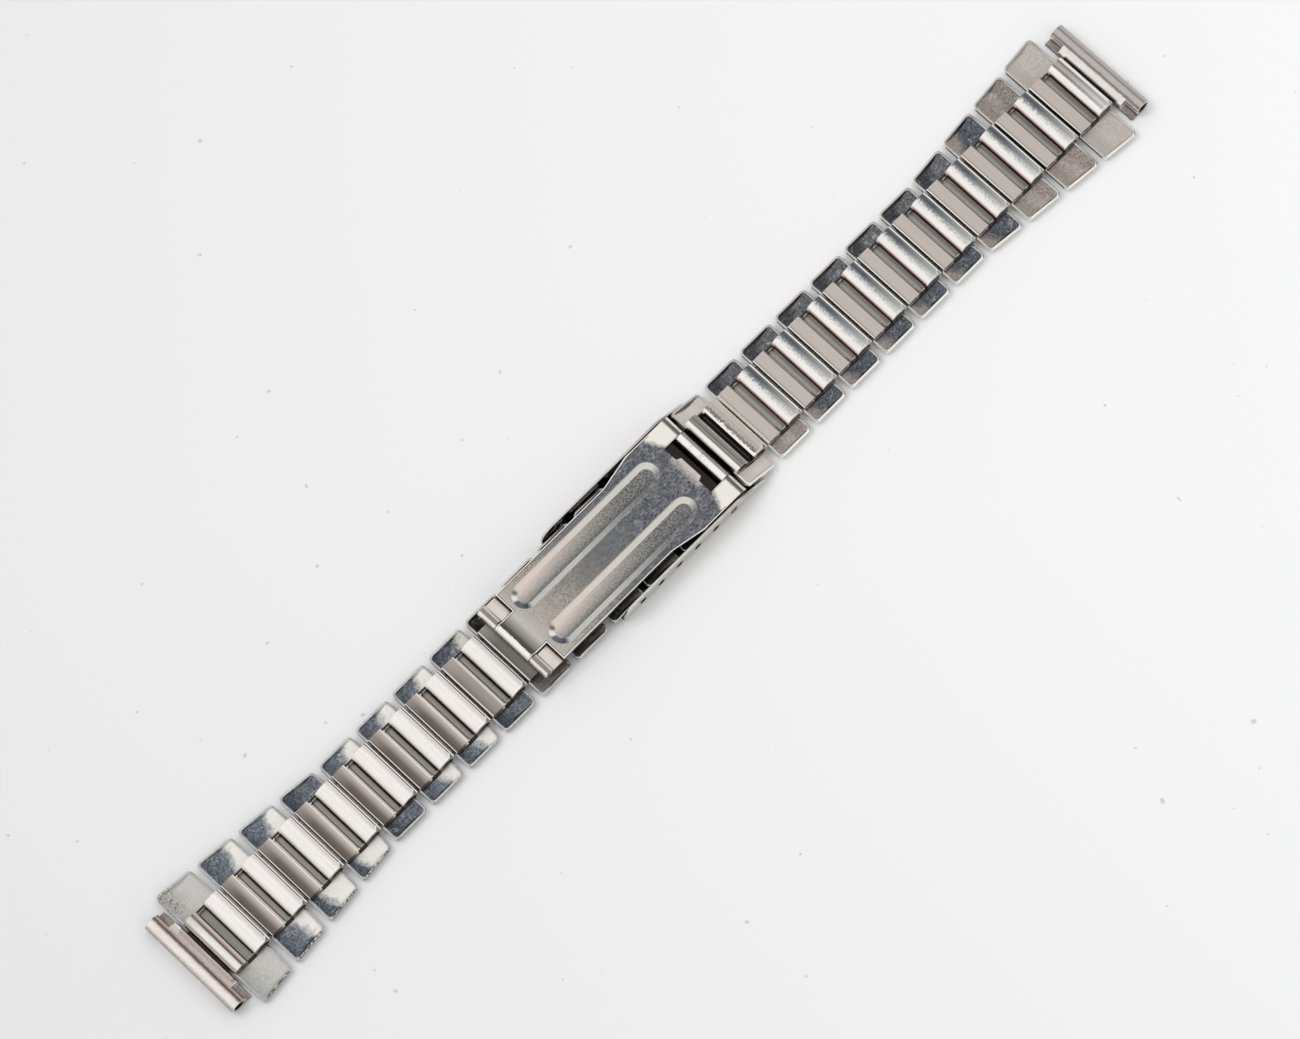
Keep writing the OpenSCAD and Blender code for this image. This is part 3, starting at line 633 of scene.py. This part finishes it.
def end_steel(name, node, side, stops):
    """Steel of the end piece on one side, -1 for the left and 1 for the right."""
    material, g = new_material(name)
    place = g.millimetres()
    x, y, z = g.xyz(place)
    low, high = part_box(node)
    axis = low.x / MM + TUBE_R if side < 0 else high.x / MM - TUBE_R
    shake = g.times(g.minus(g.noise(place, 1.4, 3.0, 0.6), 0.5), 0.35)
    # painted highlights, reflections and shade along the piece
    colour = g.ramp(g.add(g.minus(x, axis), shake), stops)
    grain = mottle(g, g.scaled(place, (1, 0.3, 1)), 2.2, 0.40, 0.62)
    colour = g.mix(g.times(grain, 0.16), colour, DARK_BROWN)
    # painted reflection: the faces that look along y are pale
    colour = g.mix(g.above(g.absolute(g.normal()[1]), 0.6, 0.1), colour, PALE)
    # the tabs beside the neck lie in the shade
    tabs = g.times(g.above(g.absolute(y), NECK_HALF), g.below(z, 0.6, 0.1))
    colour = g.mix(g.times(tabs, g.blend(grain, 0.7, 0.95)), colour, DARK_BROWN)
    finish_steel(g, colour, 0.24, grain, 0.05)
    return material


# The clasp

# Colours along the upper blade from its hinge, by x: a painted highlight on the hinge roll,
# painted shade beside it, then painted reflections
BLADE_END = ((-32.0, WHITE), (-29.95, WHITE), (-29.8, shade(84, 80, 77)),
             (-29.2, shade(104, 100, 96)), (-28.4, shade(152, 148, 143)),
             (-27.3, shade(196, 192, 187)), (-26.2, shade(184, 178, 171)),
             (-24.0, shade(172, 164, 157)), (-18.0, shade(144, 139, 134)),
             (-12.0, shade(120, 119, 118)))
# where along x its painted reflection turns bluish, its warm part turns grainy, and the hinge
# roll's shade ends
BLUISH_PART = (-16.0, 0.0)
WARM_GRAIN = (-28.0, -20.0)
ROLL_SHADE = (-29.4, -28.8)
# where the painted glow in its ribs and the painted light on their front walls fade
GLOW_FADES = (-22.0, -3.0)
WALLS_FADE = (-15.0, -1.0)
# its ribs' place across it and the heights of their floors and rims
RIB_Y = 3.8
RIB_FLOOR = 3.85
RIB_RIM = 4.3
# its outline: where the tab at the hinge ends, half widths, and where it widens to the ears
TAB_X = -26.92
KNUCKLE_HALF = 3.4
BLADE_HALF = 6.9
EAR_HALF = 8.0
FLARE_START = -4.42
FLARE_END = 1.38
# the painted shade line and the painted highlight line along its edges, by their distance from
# them
DARK_EDGE_LINE = (0.12, 0.26)
BRIGHT_EDGE_LINE = 0.14
# where these lines end along x, the notch's lip, and the ears' beginning, roll and reach
EDGE_LINES_END = 6.0
LIP = (4.9, 6.4)
LIP_HALF = 3.0
EARS = (8.4, 9.2)
EAR_ROLL = (8.95, 9.6)
EAR_INNER = 4.6


def blade_face(g, m):
    """The blade's colours, which paint its reflections, the bluish painted reflection that it has
    towards its ears, and how far a point is towards them, from 0 to 1."""
    streaks = g.above(scratches(g, m.place), 0.66)
    streaks = g.times(streaks, g.above(g.noise(m.place, 0.9, 2.0), 0.5, 0.1))
    toward_ears = g.map_range(g.add(m.x, g.times(m.patches, 6.0)), *BLUISH_PART, 0.0, 1.0)
    shake = g.times(g.minus(m.specks, 0.5), g.map_range(m.x, *ROLL_SHADE, 0.8, 0.0))
    warm = g.ramp(g.add(m.x, shake), BLADE_END)
    warm = g.tint(warm, g.blend(g.map_range(m.x, *WARM_GRAIN, 0.0, 1.0), 1.0,
                                g.map_range(m.specks, 0.35, 0.65, 1.5, 0.6)))
    bluish = g.mix(m.grain, shade(76, 80, 87), shade(118, 120, 123))
    bluish = g.tint(bluish, g.map_range(m.specks, 0.35, 0.65, 0.35, 1.6))
    bluish = g.mix(g.times(streaks, 0.8), bluish, shade(205, 208, 212))
    return g.mix(toward_ears, warm, bluish), bluish, toward_ears


def blade_ribs(g, m, colour, bluish, toward_ears):
    """Adds the ribs with painted light and shade: their floors have a painted highlight next to
    the back walls, most of all towards the hinge, and painted shade next to the front ones, and
    each wall is coloured lighter or darker by the way it faces."""
    nx, ny, nz = m.normal
    across = g.times(g.minus(m.away, RIB_Y), g.blend(g.above(m.y, 0.0), 1.0, -1.0))
    floor = g.mix(g.map_range(m.specks, 0.38, 0.62, 0.0, 1.0), shade(70, 71, 70),
                  shade(155, 155, 152))
    floor = g.mix(g.map_range(across, 0.3, 1.15, 0.0, 0.5), floor, shade(66, 68, 70))
    glow = g.map_range(across, -1.0, 1.1, 1.0, 0.1)
    glow = g.times(glow, g.map_range(g.add(m.x, m.patches), *GLOW_FADES, 1.0, 0.0))
    floor = g.mix(glow, floor, shade(214, 203, 195))
    colour = g.mix(g.below(m.z, RIB_FLOOR, 0.03), colour, floor)
    # painted light and shade: each sloping wall is coloured by the way it faces
    sloping = g.times(g.below(nz, 0.97), g.above(nz, 0.6, 0.05))
    sloping = g.times(sloping, g.above(m.x, TAB_X))
    back_wall = g.times(sloping, g.below(ny, -0.2, 0.1))
    front_wall = g.times(sloping, g.above(ny, 0.2, 0.1))
    right_wall = g.times(sloping, g.below(nx, -0.2, 0.1))
    left_wall = g.times(sloping, g.above(nx, 0.2, 0.08))
    fading = g.map_range(g.add(m.x, m.patches), *WALLS_FADE, 0.0, 0.9)
    light_grey = g.mix(fading, shade(196, 196, 193), bluish)
    colour = g.mix(front_wall, colour, light_grey)
    back_wall = g.times(back_wall, g.map_range(m.z, RIB_RIM - 0.12, RIB_RIM, 1.0, 0.3))
    colour = g.mix(back_wall, colour,
                   g.mix(toward_ears, shade(222, 209, 200), shade(212, 208, 201)))
    colour = g.mix(right_wall, colour,
                   g.mix(g.above(ny, 0.1, 0.2), shade(212, 209, 200), light_grey))
    # painted reflection and highlight: the ribs' round ends at the hinge are bluish with a bright
    # gleam
    dimple = g.mix(g.between(ny, -0.36, -0.12, 0.05),
                   g.mix(m.grain, BLUISH, shade(120, 124, 130)), WHITE)
    return g.mix(left_wall, colour, dimple)


def blade_steel():
    """The upper blade, with painted reflections: warm and pale at the hinge, bluish and scratched
    towards its ears.
    """
    material, g = new_material("blade_steel")
    m = SimpleNamespace(place=g.millimetres(), normal=g.normal())
    m.x, m.y, m.z = g.xyz(m.place)
    m.away = g.absolute(m.y)
    m.grain = mottle(g, m.place, 2.6, 0.38, 0.62)
    m.specks = g.noise(m.place, 3.4, 3.0, 0.75)
    m.patches = mottle(g, m.place, 0.35, 0.38, 0.62)
    colour = blade_ribs(g, m, *blade_face(g, m))
    # a pale lip at the notch
    lip = g.map_range(g.add(m.x, g.times(g.minus(m.specks, 0.5), 2.0)), *LIP, 0.0, 1.0)
    lip = g.times(lip, g.below(m.away, LIP_HALF, 0.4))
    colour = g.mix(g.times(lip, 0.9), colour, shade(214, 204, 198))
    # the ears are cream with a soft boundary, and their rolls have a grey band of painted
    # reflection
    ears = g.add(g.add(g.times(m.away, 0.45), m.x), g.times(m.patches, 0.5))
    ears = g.times(g.map_range(ears, *EARS, 0.0, 1.0), g.above(m.away, EAR_INNER, 0.5))
    colour = g.mix(ears, colour, shade(243, 238, 229))
    knuckle = g.times(g.between(m.x, *EAR_ROLL, 0.15), g.above(m.away, EAR_INNER, 0.2))
    colour = g.mix(knuckle, colour, shade(112, 112, 112))
    # painted highlight and shade: a bright line along the long edges, with a dark one inside it
    nz = m.normal[2]
    half = g.map_range(m.x, FLARE_START, FLARE_END, BLADE_HALF, EAR_HALF)
    beside_tab = g.math("MAXIMUM", g.minus(m.x, TAB_X), g.minus(KNUCKLE_HALF, m.away))
    from_edge = g.math("MINIMUM", g.minus(half, m.away), beside_tab)
    before_ears = g.below(m.x, EDGE_LINES_END)
    dark_line = g.times(g.above(nz, 0.9, 0.05), g.between(from_edge, *DARK_EDGE_LINE, 0.03))
    colour = g.mix(g.times(g.times(dark_line, before_ears), 0.7), colour, DARK)
    bright_line = g.below(from_edge, BRIGHT_EDGE_LINE, 0.03)
    colour = g.mix(g.times(bright_line, before_ears), colour, WHITE)
    # painted highlight: the cut edges are bright
    colour = g.mix(g.below(nz, 0.4, 0.1), colour, WHITE)
    finish_steel(g, colour, g.add(0.26, g.times(m.grain, 0.08)), g.add(m.grain, m.specks), 0.10)
    return material


HOOKS_FROM = 10.3


def clip_steel():
    """The clips' tubes are white with a painted highlight and brown marks, grey on the right as a
    painted reflection, and their hooks are painted dark for the shade they lie in.
    """
    material, g = new_material("clip_steel")
    place = g.millimetres()
    x, _, _ = g.xyz(place)
    nx, _, _ = g.normal()
    marks = g.above(g.noise(g.scaled(place, (0.5, 2.2, 0.5)), 1.0, 3.0, 0.7), 0.62)
    grain = mottle(g, g.scaled(place, (1, 0.35, 1)), 2.2, 0.42, 0.60)
    # painted highlight, reflection and shade: the tubes are white with brown marks, grey on their
    # right sides, and the hooks are dark
    colour = g.mix(g.times(marks, 0.5), WHITE, BROWN)
    right_side = g.mix(grain, shade(168, 163, 156), shade(140, 135, 128))
    colour = g.mix(g.above(nx, 0.25, 0.12), colour, right_side)
    colour = g.mix(g.above(x, HOOKS_FROM, 0.08), colour, DARK)
    finish_steel(g, colour, 0.24, grain, 0.05)
    return material


# the spring bar's x and z, and the row of adjusting holes that starts at it
SPRING_BAR = (6.98, 1.85)
HOLE_R = 0.575
HOLE_PITCH = 3.82
HOLE_COUNT = 6
HOLE_RIM = 0.1
# how thick its walls and its floor are taken to be
WALL = 0.3
FLOOR_TOP = 0.2


def cover_steel():
    """The cover is pale outside and dull and dark inside, where only little light comes."""
    material, g = new_material("cover_steel")
    place = g.millimetres()
    x, y, z = g.xyz(place)
    grain = mottle(g, place, 2.2, 0.40, 0.62)
    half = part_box("clasp_cover")[1].y / MM
    inside = g.times(g.below(g.absolute(y), half - WALL, 0.05), g.above(z, FLOOR_TOP, 0.05))
    colour = g.mix(g.times(grain, 0.30), shade(226, 222, 216), BLUISH)
    # painted shade: the inside is dark
    colour = g.mix(inside, colour, g.mix(grain, DARK, shade(92, 84, 78)))
    # painted shade: the adjusting holes are dark to their rims
    turns = g.times(g.minus(x, SPRING_BAR[0]), 1 / HOLE_PITCH)
    along = g.times(g.minus(turns, g.math("ROUND", turns)), HOLE_PITCH)
    up = g.minus(z, SPRING_BAR[1])
    from_middle = g.math("SQRT", g.add(g.times(along, along), g.times(up, up)))
    hole = g.times(g.below(from_middle, HOLE_R + HOLE_RIM, 0.04),
                   g.between(turns, -HOLE_COUNT + 0.5, 0.5))
    colour = g.mix(hole, colour, DARK)
    finish_steel(g, colour, g.add(0.2, g.times(grain, 0.08)), grain, 0.06)
    return material


# Colours along the lower blade from its hinge, by x: a painted highlight on its roll, painted
# shade beside the roll and beyond the tabs, and pale tabs between
LOW_BLADE_END = ((-32.0, WHITE), (-30.4, WHITE), (-30.2, shade(150, 143, 135)),
                 (-29.9, shade(140, 133, 125)), (-29.6, shade(222, 213, 205)),
                 (-28.0, shade(226, 218, 210)), (-27.3, shade(200, 190, 182)),
                 (-27.18, DARK), (-26.9, DARK), (-26.7, shade(120, 112, 106)),
                 (-26.0, shade(120, 112, 106)))
# the seams beside its knuckles, which hold painted shade: their width, and where they begin along
# x and in height
SEAM_W = 0.22
SEAM_START = -30.0
SEAM_Z = 3.0
# the notch's beginning and half width
NOTCH_START = 4.6
NOTCH_HALF = 5.6


def low_blade_steel():
    """The lower blade: white rolls with a painted highlight, pale tabs, and painted shade in the
    seams beside the knuckles and in the notch.
    """
    material, g = new_material("low_blade_steel")
    place = g.millimetres()
    x, y, z = g.xyz(place)
    away = g.absolute(y)
    grain = mottle(g, place, 2.2, 0.42, 0.60)
    colour = g.mix(g.times(grain, 0.12), g.ramp(x, LOW_BLADE_END), BROWN)
    # painted shade in the seams beside the knuckles
    seam = g.times(g.above(z, SEAM_Z, 0.1), g.below(away, KNUCKLE_HALF + SEAM_W, 0.03))
    colour = g.mix(g.times(seam, g.above(x, SEAM_START)), colour, DARK)
    # painted shade in the notch
    notch = g.times(g.above(x, NOTCH_START, 0.1), g.below(away, NOTCH_HALF, 0.1))
    colour = g.mix(notch, colour, DARK)
    finish_steel(g, colour, 0.28, grain, 0.05)
    return material


def dress():
    """Gives every piece the steel of the first rule that its name begins with."""
    sheet = plain_steel("brushed_sheet", BEIGE, BROWN, 0.3, 0.28, (1, 0.3, 1))
    pins = plain_steel("pin_steel", BROWN, DARK_BROWN, 0.5, 0.30, (1, 4, 1))
    copper = plain_steel("copper_tip", shade(150, 96, 70), shade(88, 58, 46), 0.6, 0.3)
    left_end = end_steel("left_end", "end_piece_left", -1, LEFT_END)
    right_end = end_steel("right_end", "end_piece_right", 1, RIGHT_END)
    rules = (("link_l", left_link_steel()), ("link_r", right_link_steel()),
             ("connector", sheet), ("clip", clip_steel()),
             ("end_piece_left", left_end), ("end_piece_right", right_end),
             ("clasp_cover", cover_steel()), ("lower_blade", low_blade_steel()),
             ("upper_blade", blade_steel()), ("spring_bar_tip", copper), ("", pins))
    for name, node in NODES.items():
        material = next(m for start, m in rules if name.startswith(start))
        node.data.materials.clear()
        node.data.materials.append(material)


EDGE_WIDTH = 0.07 * MM
EDGE_SEGMENTS = 2
EDGE_ANGLE = 38
RIB_ANGLE = 18
WELD_REACH = 0.0005 * MM


def soften_edges():
    """Rounds the edges a little, on the upper blade also those of its shallow ribs."""
    for name, node in NODES.items():
        weld = node.modifiers.new("weld", "WELD")
        weld.merge_threshold = WELD_REACH
        bevel = node.modifiers.new("bevel", "BEVEL")
        bevel.width = EDGE_WIDTH
        bevel.segments = EDGE_SEGMENTS
        bevel.limit_method = "ANGLE"
        bevel.angle_limit = math.radians(RIB_ANGLE if name == "upper_blade" else EDGE_ANGLE)
        bevel.use_clamp_overlap = True
        bevel.harden_normals = True
        normals = node.modifiers.new("normals", "WEIGHTED_NORMAL")
        normals.keep_sharp = True
        for polygon in node.data.polygons:
            polygon.use_smooth = True


# Light

# each lamp's name, size, energy and place
LAMPS = (("key", 0.5, 2.2, (-0.30, 0.35, 0.75)), ("fill", 0.7, 0.8, (0.5, 0.2, 0.8)))
# The studio as the steel sees it, from the -X side over the top to the +X side
STUDIO = ((-1.0, (0.82, 0.82, 0.82)), (-0.75, (1.0, 1.0, 1.0)), (0.36, (1.0, 0.995, 0.99)),
          (0.45, (0.70, 0.69, 0.67)), (0.52, (0.34, 0.345, 0.36)), (0.66, (0.32, 0.325, 0.34)),
          (0.76, (0.85, 0.84, 0.83)), (1.0, (0.95, 0.95, 0.95)))
# the light on the floor, and what the camera sees beyond it
AMBIENT = (0.78, 0.78, 0.785)
BACKDROP = (0.92, 0.92, 0.92)


def add_lamp(name, size, energy, place):
    light = bpy.data.lights.new(name, "AREA")
    light.shape = "DISK"
    light.size = size
    light.energy = energy
    lamp = bpy.data.objects.new(name, light)
    bpy.context.scene.collection.objects.link(lamp)
    lamp.location = place
    lamp.rotation_euler = (-Vector(place)).to_track_quat("-Z", "Y").to_euler()
    # the steel mirrors the studio, not the lamps
    lamp.visible_glossy = False


def add_studio():
    world = bpy.data.worlds.new("studio")
    bpy.context.scene.world = world
    world.use_nodes = True
    g = Graph(world.node_tree)
    x, _, _ = g.xyz(g.node("ShaderNodeTexCoord").outputs["Generated"])
    rays = g.node("ShaderNodeLightPath")
    colour = g.mix(rays.outputs["Is Glossy Ray"], AMBIENT, g.ramp(x, STUDIO))
    colour = g.mix(rays.outputs["Is Camera Ray"], colour, BACKDROP)
    background = g.node("ShaderNodeBackground")
    g.link(colour, background.inputs["Color"])
    g.link(background.outputs[0], g.node("ShaderNodeOutputWorld").inputs["Surface"])
    for lamp in LAMPS:
        add_lamp(*lamp)


add_camera()
add_floor()
dress()
soften_edges()
add_studio()
bpy.context.scene.view_settings.view_transform = "Standard"
